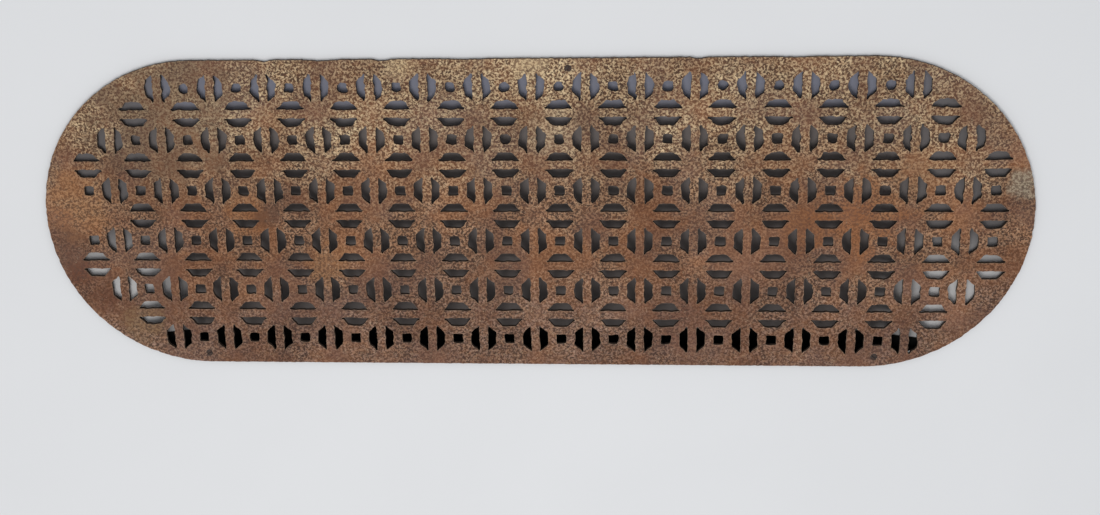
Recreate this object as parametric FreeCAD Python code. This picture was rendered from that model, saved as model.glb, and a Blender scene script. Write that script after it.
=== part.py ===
"""Oblong openwork floor grate: one flat iron casting and the three screws that hold it down.

The plate lies flat. Z = 0 is its back face, +Z its wearing face, +X runs along its length and
+Y across it. The origin is the middle of the back face. Millimetres throughout.
"""
import FreeCAD
import Part

import math
import os

# The plate: an oblong with half-round ends
PLATE_LENGTH = 1005.6
PLATE_WIDTH = 327.0
PLATE_THICKNESS = 4.8

# The star-and-square pattern. Stars stand at whole pitches from the pattern's middle, squares half
# way between them, and a pair of slots stands on each line that joins two neighbouring stars.
PITCH = 54.0
PATTERN_SHIFT = 4.2  # from the plate's middle to the pattern's middle, along X
SQUARE_SIDE = 10.4
SQUARE_CORNER_R = 1.0
RING_WIDTH = 8.6  # metal between a square and each slot round it
BAR_WIDTH = 8.8  # metal between the two slots of a pair
SLOT_LONG_SIDE = 28.6  # beside the bar
SLOT_SHORT_SIDE = 14.4  # beside the ring
SLOT_CORNER_R = 1.2
LEAST_RIM = 5.0  # an opening nearer the plate's edge than this is left out

# The three fixing screws: slotted countersunk machine screws
SCREW_LENGTH = 25.4
THREAD_DIAMETER = 4.17
SHANK_DIAMETER = 3.6  # the plain shank, rolled thinner than the thread
HEAD_DIAMETER = 7.2
HEAD_ANGLE = 82.0
HEAD_EDGE = 0.3  # the thin cylinder round the top of the head
DRIVER_SLOT_WIDTH = 1.2
DRIVER_SLOT_DEPTH = 1.0
TIP_CHAMFER = 0.7
HOLE_CLEARANCE = 0.6  # the screw hole's diameter over the thread's
HEAD_RECESS = 0.4  # the head's top below the wearing face
SEAT_GAP = 0.1  # between the head's cone and its seat
THREAD_START = 0.5  # from the back face to the first thread
SCREW_EDGE = 10.0  # from a screw's axis to the plate's edge

# Each screw stands beside a square of the outermost row: how far along from that square's middle
LEFT_SCREW_OFFSET = 3.8
RIGHT_SCREW_OFFSET = -2.7
TOP_SCREW_OFFSET = 9.7
DRIVER_SLOT_TURN = {"left": 24.0, "right": -38.0, "top": 67.0}

END_RADIUS = PLATE_WIDTH / 2
END_CENTRE = PLATE_LENGTH / 2 - END_RADIUS
SLOT_INNER = SQUARE_SIDE / 2 + RING_WIDTH  # from a square's middle to a slot's short side
SLOT_OUTER = PITCH / 2 - BAR_WIDTH / 2  # from a square's middle to a slot's long side
HOLE_RADIUS = (THREAD_DIAMETER + HOLE_CLEARANCE) / 2
THROUGH = 1.0  # how far a cutting tool runs past the plate


def point(x, y, z=0.0):
    return FreeCAD.Vector(x, y, z)


def oblong(half_length, radius):
    """The outline of a plate with half-round ends, as a wire round the origin."""
    centre = half_length - radius
    right = Part.Arc(point(centre, -radius), point(half_length, 0), point(centre, radius))
    left = Part.Arc(point(-centre, radius), point(-half_length, 0), point(-centre, -radius))
    top = Part.LineSegment(point(centre, radius), point(-centre, radius))
    bottom = Part.LineSegment(point(-centre, -radius), point(centre, -radius))
    return Part.Wire([edge.toShape() for edge in (right, top, left, bottom)])


def rounded(corners, radius):
    """A closed wire through the corners, with each corner rounded."""
    edges = []
    joins = []
    for i, corner in enumerate(corners):
        to_last = (corners[i - 1] - corner).normalize()
        to_next = (corners[(i + 1) % len(corners)] - corner).normalize()
        half_angle = to_last.getAngle(to_next) / 2
        inward = (to_last + to_next).normalize()
        set_back = radius / math.tan(half_angle)
        middle = corner + inward * (radius / math.sin(half_angle) - radius)
        joins.append((corner + to_last * set_back, middle, corner + to_next * set_back))
    for i, (start, middle, end) in enumerate(joins):
        edges.append(Part.LineSegment(joins[i - 1][2], start).toShape())
        edges.append(Part.Arc(start, middle, end).toShape())
    return Part.Wire(edges)


def square_corners(x, y):
    half = SQUARE_SIDE / 2
    return [point(x + half * a, y + half * b) for a, b in ((-1, -1), (1, -1), (1, 1), (-1, 1))]


def slot_corners(x, y, towards):
    """The slot on one side of the square at x, y: towards is the unit step to that side."""
    across = (-towards[1], towards[0])
    shape = ((SLOT_INNER, -SLOT_SHORT_SIDE / 2), (SLOT_OUTER, -SLOT_LONG_SIDE / 2),
             (SLOT_OUTER, SLOT_LONG_SIDE / 2), (SLOT_INNER, SLOT_SHORT_SIDE / 2))
    return [point(x + out * towards[0] + side * across[0], y + out * towards[1] + side * across[1])
            for out, side in shape]


def fits(corners):
    """True where every corner, in the pattern's frame, clears the plate's edge by the least rim.

    Both ends are laid out alike, as the tighter end allows, so the pattern stays even-ended.
    """
    centre = END_CENTRE - abs(PATTERN_SHIFT)
    for corner in corners:
        past_centre = max(abs(corner.x) - centre, 0.0)
        if math.hypot(past_centre, corner.y) > END_RADIUS - LEAST_RIM:
            return False
    return True


def squares_that_fit():
    """The middles of the square holes: each needs room for the ring of metal round it."""
    ring = SLOT_INNER
    columns = math.ceil(PLATE_LENGTH / 2 / PITCH)
    rows = math.ceil(PLATE_WIDTH / 2 / PITCH)
    found = []
    for row in range(-rows, rows):
        for column in range(-columns, columns):
            x, y = (column + 0.5) * PITCH, (row + 0.5) * PITCH
            if fits([point(x + ring * a, y + ring * b) for a in (-1, 1) for b in (-1, 1)]):
                found.append((x, y))
    return found


def slot_pairs_that_fit():
    """The corners of each pair of slots, with the middle of the bar between them."""
    columns = math.ceil(PLATE_LENGTH / 2 / PITCH)
    rows = math.ceil(PLATE_WIDTH / 2 / PITCH)
    half = PITCH / 2
    found = []
    for row in range(-rows, rows + 1):
        for column in range(-columns, columns + 1):
            upright = (column * PITCH, (row + 0.5) * PITCH)
            level = ((column + 0.5) * PITCH, row * PITCH)
            for (x, y), step in ((upright, (1, 0)), (level, (0, 1))):
                back = (-step[0], -step[1])
                pair = (slot_corners(x - half * step[0], y - half * step[1], step),
                        slot_corners(x + half * step[0], y + half * step[1], back))
                if fits(pair[0] + pair[1]):
                    found.append(((x, y), pair))
    return found


def openings():
    """Every opening of the pattern as a wire, in the plate's frame.

    The founder left one pair solid: the end pair on the middle line at the left.
    """
    pairs = slot_pairs_that_fit()
    left_solid = min(middle for middle, _ in pairs if abs(middle[1]) < PITCH / 4)
    wires = [rounded(square_corners(x, y), SQUARE_CORNER_R) for x, y in squares_that_fit()]
    for middle, pair in pairs:
        if middle != left_solid:
            wires += [rounded(corners, SLOT_CORNER_R) for corners in pair]
    for wire in wires:
        wire.translate(point(PATTERN_SHIFT, 0))
        wire.reverse()  # a hole's wire runs against the outline's
    return wires


def screw_places():
    """Where each screw goes: the side of the plate it is on, and its axis."""
    outer_row = max(y for _, y in squares_that_fit())
    along = sorted(x for x, y in squares_that_fit() if y == outer_row)
    first_right = min(x for x in along if x > 0)
    places = {"left": (along[0] + LEFT_SCREW_OFFSET, -1),
              "right": (along[-1] + RIGHT_SCREW_OFFSET, -1),
              "top": (first_right + TOP_SCREW_OFFSET, 1)}
    inset = END_RADIUS - SCREW_EDGE
    found = {}
    for name, (x, side) in places.items():
        x += PATTERN_SHIFT
        past_centre = max(abs(x) - END_CENTRE, 0.0)
        found[name] = (x, side * math.sqrt(inset ** 2 - past_centre ** 2))
    return found


def cone_length(wide, narrow):
    """The length of a head's cone between two radii."""
    return (wide - narrow) / math.tan(math.radians(HEAD_ANGLE / 2))


def turned_solid(profile):
    """The solid that a profile in the XZ plane makes when it is turned round the Z axis."""
    face = Part.Face(Part.makePolygon(profile + profile[:1]))
    return face.revolve(point(0, 0), point(0, 0, 1), 360)


def screw_seat(x, y):
    """The tool that drills and countersinks one screw hole."""
    top = PLATE_THICKNESS
    head_radius = HEAD_DIAMETER / 2
    rim_z = top - HEAD_RECESS - HEAD_EDGE - SEAT_GAP
    under_cone = rim_z - cone_length(head_radius, HOLE_RADIUS)
    mouth_z = top + THROUGH
    mouth_radius = head_radius + (mouth_z - rim_z) * math.tan(math.radians(HEAD_ANGLE / 2))
    profile = [point(0, 0, -THROUGH), point(HOLE_RADIUS, 0, -THROUGH),
               point(HOLE_RADIUS, 0, under_cone), point(mouth_radius, 0, mouth_z),
               point(0, 0, mouth_z)]
    seat = turned_solid(profile)
    seat.translate(point(x, y))
    return seat


def grate_plate():
    outline = oblong(PLATE_LENGTH / 2, END_RADIUS)
    face = Part.Face([outline] + openings())
    plate = face.extrude(point(0, 0, PLATE_THICKNESS))
    for x, y in screw_places().values():
        plate = plate.cut(screw_seat(x, y))
    return plate.Solids[0]


def fixing_screw(x, y, turn):
    """A slotted countersunk machine screw, standing head up in its hole."""
    top = PLATE_THICKNESS - HEAD_RECESS
    head_radius = HEAD_DIAMETER / 2
    shank_radius = SHANK_DIAMETER / 2
    thread_radius = THREAD_DIAMETER / 2
    under_edge = top - HEAD_EDGE
    under_cone = under_edge - cone_length(head_radius, shank_radius)
    tip = top - SCREW_LENGTH
    profile = [point(0, 0, top), point(head_radius, 0, top), point(head_radius, 0, under_edge),
               point(shank_radius, 0, under_cone), point(shank_radius, 0, -THREAD_START),
               point(thread_radius, 0, -THREAD_START),
               point(thread_radius, 0, tip + TIP_CHAMFER),
               point(thread_radius - TIP_CHAMFER, 0, tip), point(0, 0, tip)]
    screw = turned_solid(profile)
    driver_slot = Part.makeBox(HEAD_DIAMETER + 2 * THROUGH, DRIVER_SLOT_WIDTH,
                               DRIVER_SLOT_DEPTH + THROUGH,
                               point(-head_radius - THROUGH, -DRIVER_SLOT_WIDTH / 2,
                                     top - DRIVER_SLOT_DEPTH))
    driver_slot.rotate(point(0, 0), point(0, 0, 1), turn)
    screw = screw.cut(driver_slot)
    screw.translate(point(x, y))
    return screw


def main():
    os.makedirs("parts", exist_ok=True)
    grate_plate().exportStep("parts/grate_plate.step")
    for name, (x, y) in screw_places().items():
        screw = fixing_screw(x, y, DRIVER_SLOT_TURN[name])
        screw.exportStep(f"parts/fixing_screw_{name}.step")


main()
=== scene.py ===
"""Oblong openwork floor grate: the rusty plate, its three fixing screws and its stage.

The plate lies flat on the floor. Z = 0 is its back face, +Z its wearing face, +X runs along its
length and +Y across it. Metres throughout.
"""

import math

import bpy
from bpy.props import FloatProperty, FloatVectorProperty, IntProperty, PointerProperty
from bpy.types import Operator, Panel, PropertyGroup
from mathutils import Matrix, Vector, geometry


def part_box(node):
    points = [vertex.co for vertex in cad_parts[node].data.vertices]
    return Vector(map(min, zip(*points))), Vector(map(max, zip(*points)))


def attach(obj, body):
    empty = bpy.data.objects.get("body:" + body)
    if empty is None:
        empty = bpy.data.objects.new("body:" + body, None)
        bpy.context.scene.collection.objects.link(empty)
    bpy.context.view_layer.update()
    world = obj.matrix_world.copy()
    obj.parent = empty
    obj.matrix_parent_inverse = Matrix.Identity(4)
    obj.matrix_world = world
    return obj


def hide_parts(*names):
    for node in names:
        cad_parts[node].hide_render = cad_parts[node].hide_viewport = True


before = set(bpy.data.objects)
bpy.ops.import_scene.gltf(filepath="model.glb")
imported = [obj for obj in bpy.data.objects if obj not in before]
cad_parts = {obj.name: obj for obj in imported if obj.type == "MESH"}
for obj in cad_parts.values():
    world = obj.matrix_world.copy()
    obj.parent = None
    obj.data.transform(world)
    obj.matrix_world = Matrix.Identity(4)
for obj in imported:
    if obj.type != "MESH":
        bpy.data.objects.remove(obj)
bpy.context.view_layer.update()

bl_info = {
    "name": "Openwork Floor Grate",
    "version": (1, 0, 0),
    "blender": (4, 5, 0),
    "location": "View3D > Sidebar > Floor Grate",
    "description": "Builds a rusty cast-iron floor grate, its fixing screws and a plain stage",
    "category": "Object",
}

MM = 0.001
PLATE_LOW, PLATE_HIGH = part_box("grate_plate")
HALF_WIDTH = PLATE_HIGH.y
END_CENTRE = PLATE_HIGH.x - HALF_WIDTH
SCREW_SIDES = ("left", "right", "top")
SCREW_BOX = {side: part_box(f"fixing_screw_{side}") for side in SCREW_SIDES}
SCREW_AXIS = {side: (low + high) / 2 for side, (low, high) in SCREW_BOX.items()}
DRIVER_SLOT_TURN = {"left": 24.0, "right": -38.0, "top": 67.0}

# The pattern's middle along X, and the distance between its stars
PATTERN_MIDDLE = 4.2 * MM
PITCH = 54.0 * MM

# One screw: its radii, and the heights where its thread ends and its neck begins inside the thread
THREAD_ROOT = 1.58 * MM
THREAD_CREST = 2.085 * MM
SHANK_RADIUS = 1.8 * MM
THREAD_TOP = -0.5 * MM
NECK_LOW = -1.5 * MM
HEAD_EDGE = 0.3 * MM
HEAD_ROUND = 0.12 * MM
HEAD_HALF_ANGLE = math.radians(41.0)
TIP_SHARE = 0.72  # the thread's width at its tip

# One screw hole: the drill, and the countersink above it
DRILL_RADIUS = 2.385 * MM
DRILL_LOW = -2 * MM
DRILL_HIGH = 2.602 * MM
MOUTH_RADIUS = 5.165 * MM
MOUTH_HIGH = 5.8 * MM

# The opening's lining: where it starts to rise towards each end, over what length and how far
LINING_RISE_START = 0.33
LINING_RISE_LENGTH = 0.08
LINING_RISE_SHARE = 0.85


# ---------------------------------------------------------------------------
# Settings
# ---------------------------------------------------------------------------


class PlateSettings(PropertyGroup):
    point_spacing: FloatProperty(
        name="Point Spacing",
        description="Distance between the points along each opening's edge",
        default=2.5 * MM, min=1.0 * MM, max=10.0 * MM, unit="LENGTH",
    )
    wobble: FloatProperty(
        name="Edge Wobble",
        description="How far rust has moved the edges of the openings, where it is worst",
        default=3.8 * MM, min=0.0, max=8.0 * MM, unit="LENGTH",
    )
    edge_round: FloatProperty(
        name="Edge Round",
        description="Width of the rounding along every edge of the casting",
        default=0.4 * MM, min=0.1 * MM, max=1.5 * MM, unit="LENGTH",
    )
    # The upper rows' pale colour: dusty rust, and painted light as if lit from above
    dust: FloatVectorProperty(
        name="Dusty Rust and Painted Top Light", description="The pale, dusty rust of the upper rows",
        default=(0.68, 0.52, 0.315), min=0.0, max=1.0, subtype="COLOR",
    )
    brown: FloatVectorProperty(
        name="Brown Rust", description="The plain brown rust between the pale specks",
        default=(0.075, 0.042, 0.026), min=0.0, max=1.0, subtype="COLOR",
    )
    orange: FloatVectorProperty(
        name="Orange Rust", description="The fresh orange rust in patches",
        default=(0.26, 0.098, 0.036), min=0.0, max=1.0, subtype="COLOR",
    )


class ScrewSettings(PropertyGroup):
    thread_pitch: FloatProperty(
        name="Thread Pitch", description="Distance between two turns of the thread",
        default=0.79 * MM, min=0.3 * MM, max=2.0 * MM, unit="LENGTH",
    )
    thread_steps: IntProperty(
        name="Steps per Turn", description="Number of faces round one turn of the thread",
        default=20, min=8, max=64,
    )
    slot_width: FloatProperty(
        name="Driver Slot Width", description="Width of the slot across the screw's head",
        default=1.2 * MM, min=0.4 * MM, max=2.5 * MM, unit="LENGTH",
    )
    slot_depth: FloatProperty(
        name="Driver Slot Depth", description="Depth of the slot across the screw's head",
        default=1.0 * MM, min=0.3 * MM, max=2.0 * MM, unit="LENGTH",
    )


class StageSettings(PropertyGroup):
    floor_colour: FloatVectorProperty(
        name="Floor Colour", description="Colour of the plain floor",
        default=(0.72, 0.72, 0.73), min=0.0, max=1.0, subtype="COLOR",
    )
    ledge: FloatProperty(
        name="Ledge", description="Width of floor under the plate's edge, round the opening",
        default=8.0 * MM, min=1.0 * MM, max=30.0 * MM, unit="LENGTH",
    )
    shallow: FloatProperty(
        name="Shallow Side", description="Depth of the opening below the far side of the plate",
        default=1.0 * MM, min=0.5 * MM, max=200.0 * MM, unit="LENGTH",
    )
    deep: FloatProperty(
        name="Deep Side", description="Depth of the opening below the near side of the plate",
        default=32.0 * MM, min=1.0 * MM, max=300.0 * MM, unit="LENGTH",
    )
    lens: FloatProperty(
        name="Lens", description="Focal length of the camera, in millimetres",
        default=56.15, min=10.0, max=300.0, subtype="DISTANCE_CAMERA",
    )


# ---------------------------------------------------------------------------
# Modelling helpers
# ---------------------------------------------------------------------------


def only(thing):
    """Select one object and nothing else, and make it the active one."""
    for other in list(bpy.context.selected_objects):
        other.select_set(False)
    thing.select_set(True)
    bpy.context.view_layer.objects.active = thing


def edit(thing):
    only(thing)
    bpy.ops.object.mode_set(mode="EDIT")


def leave_edit():
    bpy.ops.object.mode_set(mode="OBJECT")


def choose(thing, kind, wanted):
    """Select the vertices, edges or faces that wanted picks, and stay in edit mode."""
    bpy.ops.object.mode_set(mode="OBJECT")
    mesh = thing.data
    for parts in (mesh.vertices, mesh.edges, mesh.polygons):
        parts.foreach_set("select", [False] * len(parts))
    parts = {"VERT": mesh.vertices, "EDGE": mesh.edges, "FACE": mesh.polygons}[kind]
    parts.foreach_set("select", [bool(wanted(part)) for part in parts])
    bpy.context.tool_settings.mesh_select_mode = (kind == "VERT", kind == "EDGE", kind == "FACE")
    bpy.ops.object.mode_set(mode="EDIT")


def apply_modifier(thing, kind, name, **settings):
    """Add one modifier to a thing and apply it."""
    only(thing)
    modifier = thing.modifiers.new(name, kind)
    for key, value in settings.items():
        setattr(modifier, key, value)
    bpy.ops.object.modifier_apply(modifier=modifier.name)


def cut_or_join(thing, tool, operation):
    """Cut a tool out of a thing, or join it on, and throw the tool away."""
    apply_modifier(thing, "BOOLEAN", "Boolean", operation=operation, object=tool, solver="EXACT")
    bpy.data.objects.remove(tool)


def finish_piece(thing, node, material):
    """Give a piece its material, and put it in its CAD node's place."""
    thing.data.materials.clear()
    thing.data.materials.append(material)
    for polygon in thing.data.polygons:
        polygon.material_index = 0
    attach(thing, "root")
    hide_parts(node)


# ---------------------------------------------------------------------------
# Material helpers
# ---------------------------------------------------------------------------


def place(tree, kind, inputs=None, **settings):
    """Place one node in a tree. An input is a value, or a socket to link from."""
    made = tree.nodes.new(kind)
    for key, value in settings.items():
        setattr(made, key, value)
    for key, value in (inputs or {}).items():
        if isinstance(value, bpy.types.NodeSocket):
            tree.links.new(value, made.inputs[key])
        else:
            made.inputs[key].default_value = value
    return made


def maths(tree, operation, first, second=0.0, clamp=False):
    return place(tree, "ShaderNodeMath", {0: first, 1: second},
                 operation=operation, use_clamp=clamp).outputs[0]


def blend_colour(tree, amount, first, second, kind="MIX"):
    """Mix two colours. A colour is three numbers or a socket."""
    values = {0: amount}
    for key, colour in ((6, first), (7, second)):
        values[key] = colour if isinstance(colour, bpy.types.NodeSocket) else (*colour, 1.0)
    return place(tree, "ShaderNodeMix", values, data_type="RGBA", blend_type=kind).outputs[2]


def spread(tree, value, low, high, smooth=True):
    """Stretch the span from low to high over 0 to 1, and cut off the rest."""
    return place(tree, "ShaderNodeMapRange", {"Value": value, "From Min": low, "From Max": high},
                 interpolation_type="SMOOTHSTEP" if smooth else "LINEAR").outputs[0]


def new_group(name, inputs, outputs):
    """A node group with named inputs and outputs, and its two end nodes."""
    group = bpy.data.node_groups.new(name, "ShaderNodeTree")
    kinds = {"float": "NodeSocketFloat", "vector": "NodeSocketVector", "colour": "NodeSocketColor"}
    for label, kind, value in inputs:
        socket = group.interface.new_socket(label, in_out="INPUT", socket_type=kinds[kind])
        if value is not None:
            socket.default_value = value
    for label, kind in outputs:
        group.interface.new_socket(label, in_out="OUTPUT", socket_type=kinds[kind])
    return group, group.nodes.new("NodeGroupInput"), group.nodes.new("NodeGroupOutput")


def use(tree, group, **inputs):
    """Place a node group. Underscores in the names of its inputs stand for spaces."""
    made = tree.nodes.new("ShaderNodeGroup")
    made.node_tree = group
    for key, value in inputs.items():
        socket = made.inputs[key.replace("_", " ")]
        if isinstance(value, bpy.types.NodeSocket):
            tree.links.new(value, socket)
        else:
            socket.default_value = value
    return made


def mottle_group():
    """Worm-like specks, such as dust caught in rust: 0 in the gaps and 1 on the specks."""
    group, start, end = new_group(
        "Rust Mottle",
        [("Vector", "vector", None), ("Scale", "float", 300.0), ("Sharpness", "float", 0.1),
         ("Level", "float", 0.5), ("Twist", "float", 0.5)],
        [("Mask", "float"), ("Height", "float")],
    )
    wave = place(group, "ShaderNodeTexNoise",
                 {"Vector": start.outputs["Vector"], "Scale": start.outputs["Scale"],
                  "Detail": 3.0, "Roughness": 0.62, "Distortion": start.outputs["Twist"]})
    low = maths(group, "SUBTRACT", start.outputs["Level"], start.outputs["Sharpness"])
    high = maths(group, "ADD", start.outputs["Level"], start.outputs["Sharpness"])
    group.links.new(spread(group, wave.outputs[0], low, high), end.inputs["Mask"])
    group.links.new(wave.outputs[0], end.inputs["Height"])
    return group


def pits_group():
    """Round rust pits of mixed sizes: the mask is 1 in a pit, and the height falls into it."""
    group, start, end = new_group(
        "Rust Pits",
        [("Vector", "vector", None), ("Scale", "float", 150.0), ("Size", "float", 0.3),
         ("Share", "float", 0.5)],
        [("Mask", "float"), ("Height", "float")],
    )
    shake = place(group, "ShaderNodeTexNoise",
                  {"Vector": start.outputs["Vector"], "Scale": start.outputs["Scale"],
                   "Detail": 2.0})
    moved = place(group, "ShaderNodeVectorMath",
                  {0: shake.outputs["Color"], 1: (0.5, 0.5, 0.5)}, operation="SUBTRACT")
    shift = place(group, "ShaderNodeVectorMath",
                  {0: moved.outputs[0], "Scale": 0.004}, operation="SCALE")
    spot = place(group, "ShaderNodeVectorMath",
                 {0: start.outputs["Vector"], 1: shift.outputs[0]}, operation="ADD")
    cells = place(group, "ShaderNodeTexVoronoi",
                  {"Vector": spot.outputs[0], "Scale": start.outputs["Scale"]})
    chosen = place(group, "ShaderNodeSeparateColor", {0: cells.outputs["Color"]})
    is_pit = maths(group, "LESS_THAN", chosen.outputs[0], start.outputs["Share"])
    near = spread(group, cells.outputs["Distance"], start.outputs["Size"], 0.0)
    mask = maths(group, "MULTIPLY", near, is_pit)
    group.links.new(mask, end.inputs["Mask"])
    group.links.new(maths(group, "SUBTRACT", 1.0, mask), end.inputs["Height"])
    return group


def stain_group():
    """A round stain with a ragged edge about a place on the plate."""
    group, start, end = new_group(
        "Stain",
        [("Vector", "vector", None), ("Centre", "vector", (0.0, 0.0, 0.0)),
         ("Radius", "float", 0.03), ("Raggedness", "float", 0.6)],
        [("Mask", "float")],
    )
    away = place(group, "ShaderNodeVectorMath",
                 {0: start.outputs["Vector"], 1: start.outputs["Centre"]}, operation="DISTANCE")
    ratio = maths(group, "DIVIDE", away.outputs["Value"], start.outputs["Radius"])
    rough = place(group, "ShaderNodeTexNoise",
                  {"Vector": start.outputs["Vector"], "Scale": 55.0, "Detail": 4.0,
                   "Roughness": 0.65})
    lean = maths(group, "MULTIPLY", maths(group, "SUBTRACT", rough.outputs[0], 0.5),
                 maths(group, "MULTIPLY", start.outputs["Raggedness"], 4.0))
    group.links.new(spread(group, maths(group, "ADD", ratio, lean), 1.15, 0.45), end.inputs["Mask"])
    return group


def patches_group():
    """Wide soft-edged patches, such as damp leaves on iron."""
    group, start, end = new_group(
        "Patches",
        [("Vector", "vector", None), ("Scale", "float", 14.0), ("Level", "float", 0.5),
         ("Softness", "float", 0.08)],
        [("Mask", "float")],
    )
    wave = place(group, "ShaderNodeTexNoise",
                 {"Vector": start.outputs["Vector"], "Scale": start.outputs["Scale"],
                  "Detail": 4.0, "Roughness": 0.6, "Distortion": 0.3})
    low = maths(group, "SUBTRACT", start.outputs["Level"], start.outputs["Softness"])
    high = maths(group, "ADD", start.outputs["Level"], start.outputs["Softness"])
    group.links.new(spread(group, wave.outputs[0], low, high), end.inputs["Mask"])
    return group


class Finishes:
    """The node groups that the materials share, built once."""

    def __init__(self):
        self.mottle = mottle_group()
        self.pits = pits_group()
        self.stain = stain_group()
        self.patches = patches_group()


FINISHES = None


def finishes():
    global FINISHES
    if FINISHES is None:
        FINISHES = Finishes()
    return FINISHES


def new_material(name):
    material = bpy.data.materials.new(name)
    material.use_nodes = True
    tree = material.node_tree
    return material, tree, tree.nodes["Principled BSDF"]


def shifted(tree, spot, x, y, z):
    """The same place, moved, so that a pattern doesn't repeat another one's specks."""
    return place(tree, "ShaderNodeVectorMath", {0: spot, 1: (x, y, z)}, operation="ADD").outputs[0]


def rusty_iron(settings):
    """Old flat cast iron, rusted all over: dusty above and paler there also as painted light from
    above, orange in the middle, bare brown below.
    """
    shared = finishes()
    material, tree, surface = new_material("rusty iron")
    where = place(tree, "ShaderNodeTexCoord")
    spot = where.outputs["Object"]
    along = place(tree, "ShaderNodeSeparateXYZ", {0: spot})
    facing = place(tree, "ShaderNodeSeparateXYZ", {0: where.outputs["Normal"]})

    drift = place(tree, "ShaderNodeTexNoise", {"Vector": spot, "Scale": 16.0, "Detail": 3.0})
    wander = maths(tree, "MULTIPLY", maths(tree, "SUBTRACT", drift.outputs[0], 0.5), 0.16)
    height = maths(tree, "ADD", along.outputs["Y"], wander)
    upper = spread(tree, height, -0.015, 0.125)
    lower = spread(tree, height, -0.015, -0.12)

    dust = tuple(settings.dust)
    brown = tuple(settings.brown)
    orange = tuple(settings.orange)
    specks = use(tree, shared.mottle, Vector=spot, Scale=400.0, Sharpness=0.05, Level=0.51,
                 Twist=0.5)
    hue = use(tree, shared.mottle, Vector=shifted(tree, spot, 5.2, 1.4, 0.9), Scale=190.0,
              Sharpness=0.09, Level=0.5, Twist=0.3)
    fine = use(tree, shared.mottle, Vector=shifted(tree, spot, 3.1, 0.7, 0.2), Scale=560.0,
               Sharpness=0.07, Level=0.57, Twist=0.2)
    broad = use(tree, shared.mottle, Vector=shifted(tree, spot, 1.3, 2.2, 0.4), Scale=70.0,
                Sharpness=0.14, Level=0.5, Twist=0.5)

    # The upper colours are paler for dust, and also as painted light from above
    pale = blend_colour(tree, upper, (0.395, 0.226, 0.133), dust)
    pale = blend_colour(tree, lower, pale, (0.305, 0.187, 0.134))
    dark = blend_colour(tree, upper, (0.048, 0.025, 0.016), brown)
    dark = blend_colour(tree, lower, dark, (0.052, 0.028, 0.020))
    pale = blend_colour(tree, maths(tree, "MULTIPLY", hue.outputs["Mask"], 0.45), pale,
                        (0.27, 0.135, 0.062))
    dark = blend_colour(tree, maths(tree, "MULTIPLY", hue.outputs["Mask"], 0.35), dark,
                        (0.155, 0.066, 0.030))
    colour = blend_colour(tree, specks.outputs["Mask"], dark, pale)
    across = place(tree, "ShaderNodeMath", {0: along.outputs["X"], 1: PATTERN_MIDDLE + PITCH / 2,
                                            2: PATTERN_MIDDLE - PITCH / 2}, operation="WRAP")
    up = place(tree, "ShaderNodeMath", {0: along.outputs["Y"], 1: PITCH / 2, 2: -PITCH / 2},
               operation="WRAP")
    from_star = place(tree, "ShaderNodeCombineXYZ",
                      {"X": maths(tree, "SUBTRACT", across.outputs[0], PATTERN_MIDDLE),
                       "Y": up.outputs[0]})
    reach = place(tree, "ShaderNodeVectorMath", {0: from_star.outputs[0]}, operation="LENGTH")
    reach = maths(tree, "ADD", reach.outputs["Value"],
                  maths(tree, "MULTIPLY", maths(tree, "SUBTRACT", broad.outputs["Height"], 0.5),
                        0.05))
    centre = spread(tree, reach, 0.018, 0.005)
    colour = blend_colour(tree, maths(tree, "MULTIPLY", centre, 0.36), colour,
                          blend_colour(tree, 0.55, dark, (0.27, 0.118, 0.068)))
    colour = blend_colour(tree, maths(tree, "MULTIPLY", broad.outputs["Mask"], 0.25), colour,
                          blend_colour(tree, 0.5, dark, (0.20, 0.12, 0.075)))
    colour = blend_colour(tree, maths(tree, "MULTIPLY", fine.outputs["Mask"], 0.45), colour,
                          (0.060, 0.034, 0.023))
    grit = use(tree, shared.mottle, Vector=shifted(tree, spot, 7.7, 3.9, 1.6), Scale=520.0,
               Sharpness=0.04, Level=0.63, Twist=0.3)
    colour = blend_colour(tree, maths(tree, "MULTIPLY", grit.outputs["Mask"], 0.55), colour,
                          blend_colour(tree, 0.5, pale, (0.66, 0.50, 0.33)))

    damp = use(tree, shared.patches, Vector=spot, Scale=13.0, Level=0.52, Softness=0.07)
    middle = maths(tree, "SUBTRACT", 1.0, maths(tree, "ADD", upper, lower), clamp=True)
    amount = maths(tree, "MULTIPLY", damp.outputs["Mask"],
                   maths(tree, "MULTIPLY_ADD", middle, 0.5), clamp=True)
    colour = blend_colour(tree, maths(tree, "MULTIPLY", amount, 0.42), colour, orange)
    bare = use(tree, shared.patches, Vector=shifted(tree, spot, 0.4, 0.9, 0.0), Scale=11.0,
               Level=0.53, Softness=0.06)
    colour = blend_colour(tree, maths(tree, "MULTIPLY", bare.outputs["Mask"], 0.30), colour,
                          (0.135, 0.072, 0.057))

    shade = place(tree, "ShaderNodeTexNoise", {"Vector": shifted(tree, spot, 2.9, 6.3, 0.5),
                                               "Scale": 13.0, "Detail": 3.0, "Roughness": 0.6})
    shade = spread(tree, shade.outputs[0], 0.34, 0.66, smooth=False)
    colour = blend_colour(tree, 1.0, colour,
                          blend_colour(tree, shade, (0.76, 0.70, 0.68), (1.20, 1.20, 1.20)),
                          kind="MULTIPLY")

    for (x, y), radius, tint, strength in STAINS:
        stain = use(tree, shared.stain, Vector=spot, Centre=(x, y, 0.005), Radius=radius)
        speckled = maths(tree, "MULTIPLY_ADD", specks.outputs["Mask"], 0.65)
        speckled.node.inputs[2].default_value = 0.35
        share = maths(tree, "MULTIPLY", stain.outputs["Mask"], speckled)
        colour = blend_colour(tree, maths(tree, "MULTIPLY", share, strength), colour, tint)

    pits = use(tree, shared.pits, Vector=spot, Scale=150.0, Size=0.34, Share=0.34)
    colour = blend_colour(tree, maths(tree, "MULTIPLY", pits.outputs["Mask"], 0.55), colour,
                          (0.045, 0.027, 0.02))

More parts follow.
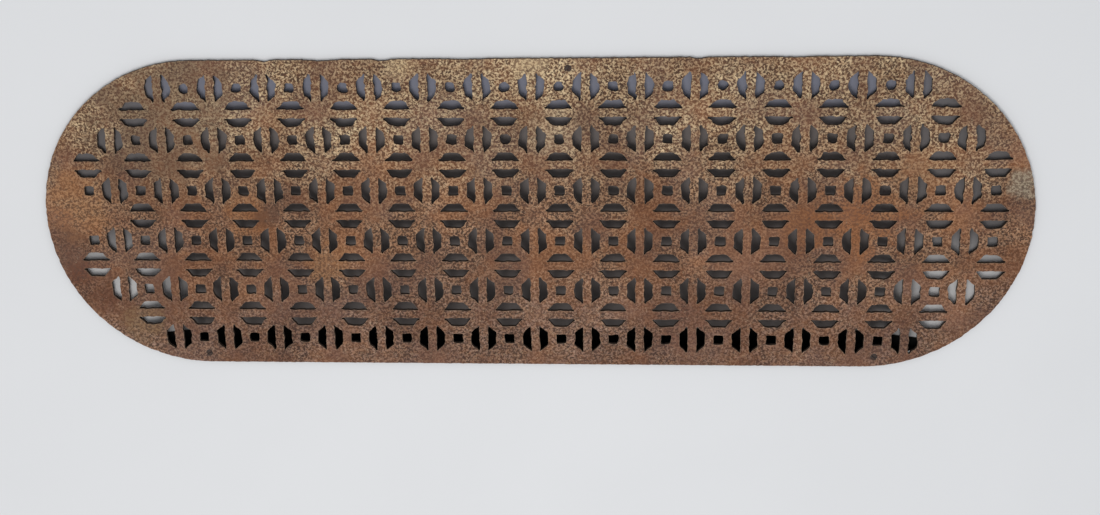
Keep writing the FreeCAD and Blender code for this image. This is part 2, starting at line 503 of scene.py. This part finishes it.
    level = maths(tree, "ABSOLUTE", facing.outputs["Z"])
    # Paler bevels: rubbed rust, and a painted highlight where the edges catch the light
    edge = maths(tree, "MULTIPLY", spread(tree, level, 0.985, 0.85), specks.outputs["Height"])
    colour = blend_colour(tree, maths(tree, "MULTIPLY", edge, 0.8), colour, (0.50, 0.36, 0.25))
    # Near-black walls of the openings: dark rust, and painted shade inside the holes
    side = spread(tree, level, 0.6, 0.15)
    colour = blend_colour(tree, maths(tree, "MULTIPLY", side, 0.9), colour, (0.022, 0.013, 0.01))
    tree.links.new(colour, surface.inputs["Base Color"])

    rough = maths(tree, "MULTIPLY_ADD", specks.outputs["Mask"], 0.1)
    rough.node.inputs[2].default_value = 0.82
    tree.links.new(rough, surface.inputs["Roughness"])
    surface.inputs["Specular IOR Level"].default_value = 0.25

    relief = maths(tree, "MULTIPLY_ADD", specks.outputs["Height"], 0.6)
    relief.node.inputs[2].default_value = 0.0
    relief = maths(tree, "ADD", relief, maths(tree, "MULTIPLY", pits.outputs["Height"], 0.5))
    relief = maths(tree, "ADD", relief, maths(tree, "MULTIPLY", fine.outputs["Height"], 0.25))
    bump = place(tree, "ShaderNodeBump", {"Height": relief, "Strength": 0.55, "Distance": 0.9 * MM})
    tree.links.new(bump.outputs[0], surface.inputs["Normal"])
    return material


# Where on the plate, how wide, what colour and how strong
STAINS = (
    ((0.3325, 0.0), 0.050, (0.27, 0.10, 0.035), 0.65),
    ((0.2790, -0.010), 0.030, (0.25, 0.10, 0.038), 0.5),
    ((0.3860, 0.045), 0.034, (0.24, 0.12, 0.055), 0.4),
    ((0.4860, 0.032), 0.017, (0.36, 0.31, 0.225), 0.7),
    ((-0.4700, 0.012), 0.040, (0.33, 0.15, 0.06), 0.5),
    ((-0.4800, -0.040), 0.030, (0.10, 0.045, 0.03), 0.5),
    ((-0.2900, 0.006), 0.030, (0.27, 0.11, 0.04), 0.55),
    ((-0.2676, 0.0034), 0.016, (0.07, 0.035, 0.026), 0.6),
    ((-0.2110, -0.0514), 0.024, (0.26, 0.12, 0.045), 0.5),
    ((-0.1250, 0.1568), 0.016, (0.58, 0.42, 0.24), 0.55),
    ((0.0044, 0.1578), 0.020, (0.62, 0.46, 0.27), 0.6),
    ((-0.3700, 0.1000), 0.090, (0.12, 0.075, 0.048), 0.6),
    ((-0.2450, 0.0150), 0.022, (0.085, 0.034, 0.026), 0.5),
    ((-0.0300, -0.0600), 0.030, (0.16, 0.075, 0.045), 0.45),
    ((-0.4000, -0.0900), 0.045, (0.11, 0.050, 0.034), 0.45),
    ((0.1500, -0.1150), 0.034, (0.15, 0.066, 0.045), 0.45),
    ((0.0250, 0.0900), 0.030, (0.60, 0.46, 0.30), 0.35),
    ((-0.4100, -0.1180), 0.026, (0.22, 0.135, 0.065), 0.6),
    ((-0.4480, -0.0950), 0.020, (0.10, 0.034, 0.019), 0.6),
    ((-0.4720, -0.0620), 0.018, (0.12, 0.040, 0.020), 0.6),
)


def dark_steel_with_hole_shade():
    """Old screw steel: near-black, partly as painted shade of the screw hole, with rust in random
    patches and more metal outside them.
    """
    shared = finishes()
    material, tree, surface = new_material("screw steel darkened as hole shade")
    spot = place(tree, "ShaderNodeTexCoord").outputs["Object"]
    specks = use(tree, shared.mottle, Vector=spot, Scale=900.0, Sharpness=0.1, Level=0.5, Twist=0.4)
    rust = use(tree, shared.patches, Vector=spot, Scale=420.0, Level=0.47, Softness=0.08)
    pits = use(tree, shared.pits, Vector=spot, Scale=1300.0, Size=0.35, Share=0.3)
    # Near-black colours: the steel's own dark oxide, darkened further as painted shade of the screw
    # hole
    colour = blend_colour(tree, specks.outputs["Mask"], (0.016, 0.013, 0.012),
                          (0.036, 0.028, 0.024))
    colour = blend_colour(tree, maths(tree, "MULTIPLY", rust.outputs["Mask"], 0.8), colour,
                          (0.048, 0.022, 0.013))
    tree.links.new(colour, surface.inputs["Base Color"])
    metal = maths(tree, "MULTIPLY", maths(tree, "SUBTRACT", 1.0, rust.outputs["Mask"]), 0.4)
    tree.links.new(metal, surface.inputs["Metallic"])
    rough = maths(tree, "MULTIPLY_ADD", rust.outputs["Mask"], 0.35)
    rough.node.inputs[2].default_value = 0.5
    tree.links.new(rough, surface.inputs["Roughness"])
    relief = maths(tree, "ADD", pits.outputs["Height"], specks.outputs["Height"])
    bump = place(tree, "ShaderNodeBump", {"Height": relief, "Strength": 0.4, "Distance": 0.1 * MM})
    tree.links.new(bump.outputs[0], surface.inputs["Normal"])
    return material


def pale_floor(colour):
    """A plain matt floor with the least grain."""
    shared = finishes()
    material, tree, surface = new_material("pale floor")
    spot = place(tree, "ShaderNodeTexCoord").outputs["Object"]
    grain = use(tree, shared.patches, Vector=spot, Scale=3.0, Level=0.5, Softness=0.3)
    paler = tuple(min(c * 1.03, 1.0) for c in colour)
    mixed = blend_colour(tree, grain.outputs["Mask"], tuple(colour), paler)
    tree.links.new(mixed, surface.inputs["Base Color"])
    surface.inputs["Roughness"].default_value = 0.9
    surface.inputs["Specular IOR Level"].default_value = 0.2
    return material


def lining_with_painted_shade():
    """The lining of the opening, coloured with painted light and shade: dim, bluer at the far side,
    paler at the ends, black nearby as painted shadow.
    """
    material, tree, surface = new_material("lining with painted shade and light")
    where = place(tree, "ShaderNodeTexCoord")
    along = place(tree, "ShaderNodeSeparateXYZ", {0: where.outputs["Object"]})
    # Painted light: lighter and bluer at the far side, where more light comes in through the plate
    far = spread(tree, along.outputs["Y"], 0.085, 0.13)
    # Painted shade towards each end, and painted light over the lower part of each end
    ends = spread(tree, maths(tree, "ABSOLUTE", along.outputs["X"]), 0.345, 0.42)
    painted_light_low_ends = maths(tree, "MULTIPLY", ends, spread(tree, along.outputs["Y"], -0.01, -0.075))
    # Painted shadow: black along the near side, under the plate's lower edge
    near = spread(tree, along.outputs["Y"], -0.1352, -0.1366)
    colour = blend_colour(tree, far, (0.200, 0.176, 0.168), (0.235, 0.240, 0.295))
    colour = blend_colour(tree, ends, colour, (0.15, 0.138, 0.138))
    colour = blend_colour(tree, painted_light_low_ends, colour, (0.62, 0.61, 0.61))
    colour = blend_colour(tree, near, colour, (0.004, 0.004, 0.004))
    tree.links.new(colour, surface.inputs["Base Color"])
    surface.inputs["Roughness"].default_value = 0.9
    surface.inputs["Specular IOR Level"].default_value = 0.1
    return material


# ---------------------------------------------------------------------------
# The plate
# ---------------------------------------------------------------------------


def lift_outlines(plate):
    """Leave only the outlines of the wearing face: the plate's own and one for each opening."""
    edit(plate)
    bpy.ops.mesh.select_all(action="SELECT")
    bpy.ops.mesh.remove_doubles(threshold=0.001 * MM)
    face_z = PLATE_HIGH.z - 0.01 * MM
    choose(plate, "FACE", lambda f: f.normal.z < 0.9 or f.center.z < face_z)
    bpy.ops.mesh.delete(type="FACE")
    bpy.ops.mesh.select_all(action="SELECT")
    bpy.ops.mesh.region_to_loop()
    bpy.ops.mesh.select_all(action="INVERT")
    bpy.ops.mesh.delete(type="EDGE_FACE")
    choose(plate, "VERT", lambda v: any((v.co.xy - axis.xy).length < 7 * MM
                                        for axis in SCREW_AXIS.values()))
    bpy.ops.mesh.delete(type="VERT")
    bpy.ops.mesh.select_all(action="SELECT")
    bpy.ops.mesh.remove_doubles(threshold=0.45 * MM)
    leave_edit()


def even_out(plate, step):
    """Divide the long straight edges, so that points stand about one step apart all along."""
    edit(plate)
    most = 1
    while most:
        leave_edit()
        mesh = plate.data
        ends = [(mesh.vertices[e.vertices[0]].co, mesh.vertices[e.vertices[1]].co)
                for e in mesh.edges]
        cuts = [min(max(round((a - b).length / step) - 1, 0), 100) for a, b in ends]
        most = max(cuts)
        edit(plate)
        if most:
            choose(plate, "EDGE", lambda e: cuts[e.index] == most)
            bpy.ops.mesh.subdivide(number_cuts=most)
    leave_edit()


def on_rim(co):
    """True for a point on the plate's own outline."""
    past_centre = max(abs(co.x) - END_CENTRE, 0.0)
    return math.hypot(past_centre, co.y) > HALF_WIDTH - 1.5 * MM


def beside_bar(co):
    """True for a point on the long straight side of a slot, next to the bar."""
    across = abs((co.x - PATTERN_MIDDLE + PITCH / 2) % PITCH - PITCH / 2)
    along = abs((co.y + PITCH / 2) % PITCH - PITCH / 2)
    return min(across, along) < 6.2 * MM


def slot_reach(co, step):
    """How far a point lies one way along its slot from the slot's middle."""
    across = (co.x - PATTERN_MIDDLE) % PITCH - PITCH / 2
    along = co.y % PITCH - PITCH / 2
    if on_rim(co) or bool(step.x) == (abs(across) > abs(along)):
        return 0.0
    return across * step.x + along * step.y


# Points of an outline nearer each other than this are merged, so that the rounding has room
LEAST_STEP = 1.3 * MM

# How far rust has drawn out the pointed ends of the slots
SLOT_GROWTH = 1.4 * MM

# Where rust has softened the openings' blunt corners: lowest Y, how much and how many times
SOFTENED = ((-1.0, 0.25, 1), (45 * MM, 0.5, 2), (121 * MM, 0.5, 3))

# Dents along the plate's edge: place along X, depth and reach
DENTS = (
    (-264 * MM, 1.6 * MM, 12 * MM),
    (-206 * MM, 1.3 * MM, 22 * MM),
    (-145 * MM, 1.7 * MM, 12 * MM),
    (-60 * MM, 0.7 * MM, 30 * MM),
    (168 * MM, 1.5 * MM, 10 * MM),
    (262 * MM, 0.7 * MM, 24 * MM),
)


def wear_outlines(plate, wobble):
    """Soften the corners, move the edges about and dent the rim, as rust and use have."""
    edit(plate)
    for lowest, factor, times in SOFTENED:
        choose(plate, "VERT", lambda v: (v.co.y > lowest and not on_rim(v.co)
                                         and not beside_bar(v.co)))
        bpy.ops.mesh.vertices_smooth(factor=factor, repeat=times)
    for step in (Vector((1, 0, 0)), Vector((-1, 0, 0)), Vector((0, 1, 0)), Vector((0, -1, 0))):
        choose(plate, "VERT", lambda v: beside_bar(v.co) and slot_reach(v.co, step) > 9.5 * MM)
        bpy.ops.transform.translate(value=step * SLOT_GROWTH)
    blob = Vector((PATTERN_MIDDLE - 8.5 * PITCH, 0.5 * PITCH))
    choose(plate, "VERT", lambda v: (v.co.xy - blob).length < 10 * MM)
    bpy.ops.mesh.vertices_smooth(factor=0.5, repeat=3)
    for x, depth, reach in DENTS:
        rim = [v for v in plate.data.vertices if on_rim(v.co) and v.co.y > 0]
        nearest = min(rim, key=lambda v: abs(v.co.x - x)).index
        choose(plate, "VERT", lambda v: v.index == nearest)
        bpy.ops.transform.translate(
            value=(0.0, -depth, 0.0), use_proportional_edit=True,
            use_proportional_connected=True, proportional_edit_falloff="SMOOTH",
            proportional_size=reach)
    leave_edit()

    worn = plate.vertex_groups.new(name="worn")
    for vertex in plate.data.vertices:
        share = 0.65 + 0.35 * min(max((vertex.co.y + 0.02) / 0.12, 0.0), 1.0)
        worn.add([vertex.index], 0.4 if on_rim(vertex.co) else share, "REPLACE")
    for direction, basis, size in (("X", "BLENDER_ORIGINAL", 4.6), ("Y", "IMPROVED_PERLIN", 4.4)):
        lumps = bpy.data.textures.new(f"rust lumps {direction}", "CLOUDS")
        lumps.noise_basis = basis
        lumps.noise_scale = size * MM
        lumps.noise_depth = 1
        apply_modifier(plate, "DISPLACE", "Wobble", texture=lumps, texture_coords="LOCAL",
                       direction=direction, strength=wobble, mid_level=0.5,
                       vertex_group=worn.name)
        bpy.data.textures.remove(lumps)
    plate.vertex_groups.clear()
    edit(plate)
    bpy.ops.mesh.select_all(action="SELECT")
    bpy.ops.mesh.remove_doubles(threshold=LEAST_STEP)
    leave_edit()


def loops_of(mesh):
    """The closed outlines of a mesh that is edges only, each as its vertex numbers in order."""
    beside = {}
    for edge in mesh.edges:
        first, second = edge.vertices
        beside.setdefault(first, []).append(second)
        beside.setdefault(second, []).append(first)
    if any(len(ends) != 2 for ends in beside.values()):
        raise RuntimeError("an outline of the plate is open or touches itself")
    loops = []
    left = set(beside)
    while left:
        start = min(left)
        loop = [start]
        step = beside[start][0]
        while step != start:
            loop.append(step)
            step = next(n for n in beside[step] if n != loop[-2])
        left.difference_update(loop)
        loops.append(loop)
    return loops


def is_inside(spot, outline):
    """True for a flat point inside an outline."""
    inside = False
    for i, here in enumerate(outline):
        last = outline[i - 1]
        if (here.y > spot.y) != (last.y > spot.y):
            if spot.x < here.x + (last.x - here.x) * (spot.y - here.y) / (last.y - here.y):
                inside = not inside
    return inside


def fill_between(plate):
    """Fill the plate's face with well-shaped triangles, and leave the openings open."""
    mesh = plate.data
    flat = [vertex.co.xy for vertex in mesh.vertices]
    edges = [tuple(edge.vertices) for edge in mesh.edges]
    loops = loops_of(mesh)
    loop_of = {vertex: number for number, loop in enumerate(loops) for vertex in loop}
    rim = max(range(len(loops)), key=lambda n: max(flat[v].x for v in loops[n]))
    spots, _, triangles, origins, _, _ = geometry.delaunay_2d_cdt(flat, edges, [], 1, 1e-8)
    if len(spots) != len(flat):
        raise RuntimeError("two outlines of the plate touch or cross")
    kept = []
    for triangle in triangles:
        number = {loop_of[origins[corner][0]] for corner in triangle}
        if len(number) == 1 and rim not in number:
            outline = [flat[v] for v in loops[number.pop()]]
            if is_inside(sum((spots[c] for c in triangle), Vector((0.0, 0.0))) / 3, outline):
                continue
        kept.append(triangle)
    mesh.clear_geometry()
    mesh.from_pydata([(spot.x, spot.y, PLATE_HIGH.z) for spot in spots], [], kept)
    mesh.update()


def cast_solid(plate):
    """Fill the outlines to a face and give it the plate's thickness."""
    fill_between(plate)
    edit(plate)
    bpy.ops.mesh.select_all(action="SELECT")
    bpy.ops.mesh.extrude_region_move(
        TRANSFORM_OT_translate={"value": (0.0, 0.0, PLATE_LOW.z - PLATE_HIGH.z)})
    bpy.ops.mesh.select_all(action="SELECT")
    bpy.ops.mesh.normals_make_consistent(inside=False)
    leave_edit()


def seat_cutter(axis):
    """The tool for one screw hole: a drill with a countersink on top."""
    bpy.ops.object.select_all(action="DESELECT")
    bpy.ops.mesh.primitive_cylinder_add(
        vertices=32, radius=DRILL_RADIUS, depth=DRILL_HIGH - DRILL_LOW,
        location=(axis.x, axis.y, (DRILL_HIGH + DRILL_LOW) / 2))
    cutter = bpy.context.active_object
    bpy.ops.object.transform_apply(location=True, rotation=True, scale=True)
    edit(cutter)
    choose(cutter, "FACE", lambda f: f.normal.z > 0.9)
    bpy.ops.mesh.extrude_region_move(
        TRANSFORM_OT_translate={"value": (0.0, 0.0, MOUTH_HIGH - DRILL_HIGH)})
    widen = MOUTH_RADIUS / DRILL_RADIUS
    bpy.ops.transform.resize(value=(widen, widen, 1.0),
                             center_override=(axis.x, axis.y, MOUTH_HIGH))
    leave_edit()
    return cutter


def sink_screw_seats(plate):
    for axis in SCREW_AXIS.values():
        cut_or_join(plate, seat_cutter(axis), "DIFFERENCE")


def round_edges(plate, width):
    apply_modifier(plate, "BEVEL", "Worn Edges", width=width, segments=2, limit_method="ANGLE",
                   angle_limit=math.radians(60), use_clamp_overlap=False)
    only(plate)
    bpy.ops.object.shade_smooth_by_angle(angle=math.radians(50))
    apply_modifier(plate, "WEIGHTED_NORMAL", "Flat Faces", keep_sharp=True, weight=80)


class GRATE_OT_plate(Operator):
    """Build the rusty openwork plate over its CAD shape"""

    bl_idname = "grate.plate"
    bl_label = "Openwork Plate"

    def execute(self, context):
        settings = context.scene.grate_plate
        only(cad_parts["grate_plate"])
        bpy.ops.object.duplicate()
        plate = context.active_object
        plate.name = plate.data.name = "openwork_plate"
        plate.parent = None
        for key in list(plate.keys()):
            del plate[key]
        lift_outlines(plate)
        even_out(plate, settings.point_spacing)
        wear_outlines(plate, settings.wobble)
        cast_solid(plate)
        sink_screw_seats(plate)
        round_edges(plate, settings.edge_round)
        finish_piece(plate, "grate_plate", rusty_iron(settings))
        return {"FINISHED"}


# ---------------------------------------------------------------------------
# The screws
# ---------------------------------------------------------------------------


def threaded_shank(settings, low, high, root, crest):
    """A real helical thread, cut off square at the top and narrowed at the tip."""
    pitch = settings.thread_pitch
    bpy.ops.object.select_all(action="DESELECT")
    bpy.ops.mesh.primitive_plane_add(size=1 * MM, location=(root, 0.0, low - pitch))
    thread = bpy.context.active_object
    bpy.ops.object.transform_apply(location=True, rotation=True, scale=True)
    choose(thread, "VERT", lambda v: True)
    bpy.ops.mesh.merge(type="CENTER")
    height = crest - root
    for out, up in ((height, 0.38 * pitch), (0.0, 0.12 * pitch), (-height, 0.38 * pitch),
                    (0.0, 0.12 * pitch)):
        bpy.ops.mesh.extrude_region_move(TRANSFORM_OT_translate={"value": (out, 0.0, up)})
    leave_edit()
    turns = math.ceil((high - low) / pitch) + 2
    apply_modifier(thread, "SCREW", "Thread", axis="Z", angle=math.tau, screw_offset=pitch,
                   iterations=turns, steps=settings.thread_steps,
                   render_steps=settings.thread_steps)
    edit(thread)
    bpy.ops.mesh.select_all(action="SELECT")
    bpy.ops.mesh.remove_doubles(threshold=0.01 * MM)
    bpy.ops.mesh.bisect(plane_co=(0.0, 0.0, low), plane_no=(0.0, 0.0, -1.0), use_fill=True,
                        clear_outer=True, threshold=1e-7)
    bpy.ops.mesh.select_all(action="SELECT")
    bpy.ops.mesh.bisect(plane_co=(0.0, 0.0, high), plane_no=(0.0, 0.0, 1.0), use_fill=True,
                        clear_outer=True, threshold=1e-7)
    bpy.ops.mesh.select_all(action="SELECT")
    bpy.ops.mesh.normals_make_consistent(inside=False)
    choose(thread, "VERT", lambda v: v.co.z < low + 0.02 * MM)
    bpy.ops.transform.resize(value=(TIP_SHARE, TIP_SHARE, 1.0), center_override=(0.0, 0.0, low))
    leave_edit()
    return thread


def head_and_neck(low, top, radius, shank):
    """The plain neck and the countersunk head, with a slightly rounded top edge."""
    cone = (radius - shank) / math.tan(HEAD_HALF_ANGLE)
    under_cone = top - HEAD_EDGE - cone
    bpy.ops.object.select_all(action="DESELECT")
    bpy.ops.mesh.primitive_cylinder_add(
        vertices=40, radius=shank, depth=under_cone - low,
        location=(0.0, 0.0, (under_cone + low) / 2))
    head = bpy.context.active_object
    bpy.ops.object.transform_apply(location=True, rotation=True, scale=True)
    edit(head)
    choose(head, "FACE", lambda f: f.normal.z > 0.9)
    bpy.ops.mesh.extrude_region_move(TRANSFORM_OT_translate={"value": (0.0, 0.0, cone)})
    bpy.ops.transform.resize(value=(radius / shank, radius / shank, 1.0),
                             center_override=(0.0, 0.0, top))
    bpy.ops.mesh.extrude_region_move(TRANSFORM_OT_translate={"value": (0.0, 0.0, HEAD_EDGE)})
    choose(head, "FACE", lambda f: f.normal.z > 0.9)
    bpy.ops.mesh.bevel(offset=HEAD_ROUND, segments=3, affect="EDGES")
    leave_edit()
    return head


class GRATE_OT_screws(Operator):
    """Build one slotted countersunk screw and set a copy in each of the three holes"""

    bl_idname = "grate.screws"
    bl_label = "Fixing Screws"

    def execute(self, context):
        settings = context.scene.grate_screws
        low, high = SCREW_BOX["left"]
        radius = (high.y - low.y) / 2
        first = threaded_shank(settings, low.z, THREAD_TOP, THREAD_ROOT, THREAD_CREST)
        cut_or_join(first, head_and_neck(NECK_LOW, high.z, radius, SHANK_RADIUS), "UNION")
        bpy.ops.object.select_all(action="DESELECT")
        bpy.ops.mesh.primitive_cube_add(size=1.0, location=(0.0, 0.0, high.z))
        driver = context.active_object
        driver.scale = (4 * radius, settings.slot_width, 2 * settings.slot_depth)
        bpy.ops.object.transform_apply(location=True, rotation=True, scale=True)
        cut_or_join(first, driver, "DIFFERENCE")
        only(first)
        bpy.ops.object.shade_smooth_by_angle(angle=math.radians(32))
        steel = dark_steel_with_hole_shade()
        for side in SCREW_SIDES:
            only(first)
            bpy.ops.object.duplicate()
            screw = context.active_object
            screw.name = screw.data.name = f"slotted_screw_{side}"
            screw.location = (SCREW_AXIS[side].x, SCREW_AXIS[side].y, 0.0)
            screw.rotation_euler.z = math.radians(DRIVER_SLOT_TURN[side])
            bpy.ops.object.transform_apply(location=True, rotation=True, scale=True)
            finish_piece(screw, f"fixing_screw_{side}", steel)
        bpy.data.objects.remove(first)
        return {"FINISHED"}


# ---------------------------------------------------------------------------
# The stage
# ---------------------------------------------------------------------------


def oblong_loop(inset):
    """A flat loop of edges round the opening in the floor, as an object in edit mode."""
    bpy.ops.object.select_all(action="DESELECT")
    bpy.ops.mesh.primitive_circle_add(vertices=96, radius=HALF_WIDTH - inset, fill_type="NOTHING")
    loop = bpy.context.active_object
    edit(loop)
    for side in (1, -1):
        choose(loop, "VERT", lambda v: v.co.x * side > 1e-6)
        bpy.ops.transform.translate(value=(side * END_CENTRE, 0.0, 0.0))
    bpy.ops.mesh.select_all(action="SELECT")
    return loop


class GRATE_OT_stage(Operator):
    """Build the plain floor with the opening that the plate covers, the lights and the camera"""

    bl_idname = "grate.stage"
    bl_label = "Stage"

    def execute(self, context):
        settings = context.scene.grate_stage
        floor = oblong_loop(settings.ledge)
        bpy.ops.mesh.extrude_region_move()
        bpy.ops.transform.resize(value=(9.0, 27.0, 1.0), center_override=(0.0, 0.0, 0.0))
        bpy.ops.mesh.select_all(action="SELECT")
        bpy.ops.mesh.normals_make_consistent(inside=False)
        leave_edit()
        floor.name = "floor"
        floor.data.materials.append(pale_floor(tuple(settings.floor_colour)))

        lining = oblong_loop(settings.ledge)
        bpy.ops.mesh.extrude_region_move(TRANSFORM_OT_translate={"value": (0.0, 0.0, -1.0)})
        bpy.ops.mesh.edge_face_add()
        for x in (-0.41, -0.37, -0.33, 0.33, 0.37, 0.41):
            bpy.ops.mesh.select_all(action="SELECT")
            bpy.ops.mesh.bisect(plane_co=(x, 0.0, 0.0), plane_no=(1.0, 0.0, 0.0))
        leave_edit()
        for vertex in lining.data.vertices:
            if vertex.co.z < -0.5:
                near = 0.5 - vertex.co.y / (2 * HALF_WIDTH)
                past = abs(vertex.co.x) - LINING_RISE_START
                end = min(max(past / LINING_RISE_LENGTH, 0.0), 1.0)
                fall = (settings.deep - settings.shallow) * near * (1 - LINING_RISE_SHARE * end)
                vertex.co.z = -(settings.shallow + fall)
        lining.name = "opening_lining"
        lining.data.materials.append(lining_with_painted_shade())

        world = bpy.data.worlds.new("soft sky")
        context.scene.world = world
        world.use_nodes = True
        sky = world.node_tree.nodes["Background"]
        sky.inputs["Color"].default_value = (0.93, 0.965, 1.0, 1.0)
        sky.inputs["Strength"].default_value = 0.6
        for name, spot, size, power, tint in (
            ("key", (-0.3, -0.5, 2.4), 1.2, 26.0, (1.0, 0.985, 0.96)),
            ("fill", (1.5, 0.3, 2.2), 2.2, 5.0, (0.95, 0.97, 1.0)),
        ):
            lamp = bpy.data.lights.new(name, "AREA")
            lamp.size = size
            lamp.energy = power
            lamp.color = tint
            holder = bpy.data.objects.new(name, lamp)
            holder.location = spot
            holder.rotation_euler = (-Vector(spot)).to_track_quat("-Z", "Y").to_euler()
            context.collection.objects.link(holder)

        camera = bpy.data.cameras.new("camera")
        camera.lens = settings.lens
        camera.sensor_width = 36.0
        camera.shift_x = 60.0 / 1100.0
        camera.shift_y = -14.2 / 1100.0
        camera.clip_start = 0.01
        holder = bpy.data.objects.new("camera", camera)
        holder.location = (0.1041, 0.5541, 1.6556)
        holder.rotation_euler = tuple(math.radians(a) for a in (-19.519, 4.499, -1.463))
        context.collection.objects.link(holder)
        context.scene.camera = holder
        context.scene.view_settings.view_transform = "Standard"
        return {"FINISHED"}


class GRATE_PT_panel(Panel):
    """The sidebar panel of the floor grate"""

    bl_idname = "GRATE_PT_panel"
    bl_label = "Floor Grate"
    bl_space_type = "VIEW_3D"
    bl_region_type = "UI"
    bl_category = "Floor Grate"

    def draw(self, context):
        layout = self.layout
        for operator, group in ((GRATE_OT_plate, "grate_plate"), (GRATE_OT_screws, "grate_screws"),
                                (GRATE_OT_stage, "grate_stage")):
            box = layout.box()
            box.operator(operator.bl_idname)
            settings = getattr(context.scene, group)
            for name in settings.__annotations__:
                box.prop(settings, name)


CLASSES = (PlateSettings, ScrewSettings, StageSettings, GRATE_OT_plate, GRATE_OT_screws,
           GRATE_OT_stage, GRATE_PT_panel)


def register():
    for cls in CLASSES:
        bpy.utils.register_class(cls)
    bpy.types.Scene.grate_plate = PointerProperty(type=PlateSettings)
    bpy.types.Scene.grate_screws = PointerProperty(type=ScrewSettings)
    bpy.types.Scene.grate_stage = PointerProperty(type=StageSettings)


def unregister():
    del bpy.types.Scene.grate_stage
    del bpy.types.Scene.grate_screws
    del bpy.types.Scene.grate_plate
    for cls in reversed(CLASSES):
        bpy.utils.unregister_class(cls)


def main():
    register()
    bpy.ops.grate.plate()
    bpy.ops.grate.screws()
    bpy.ops.grate.stage()


if __name__ == "__main__":
    main()
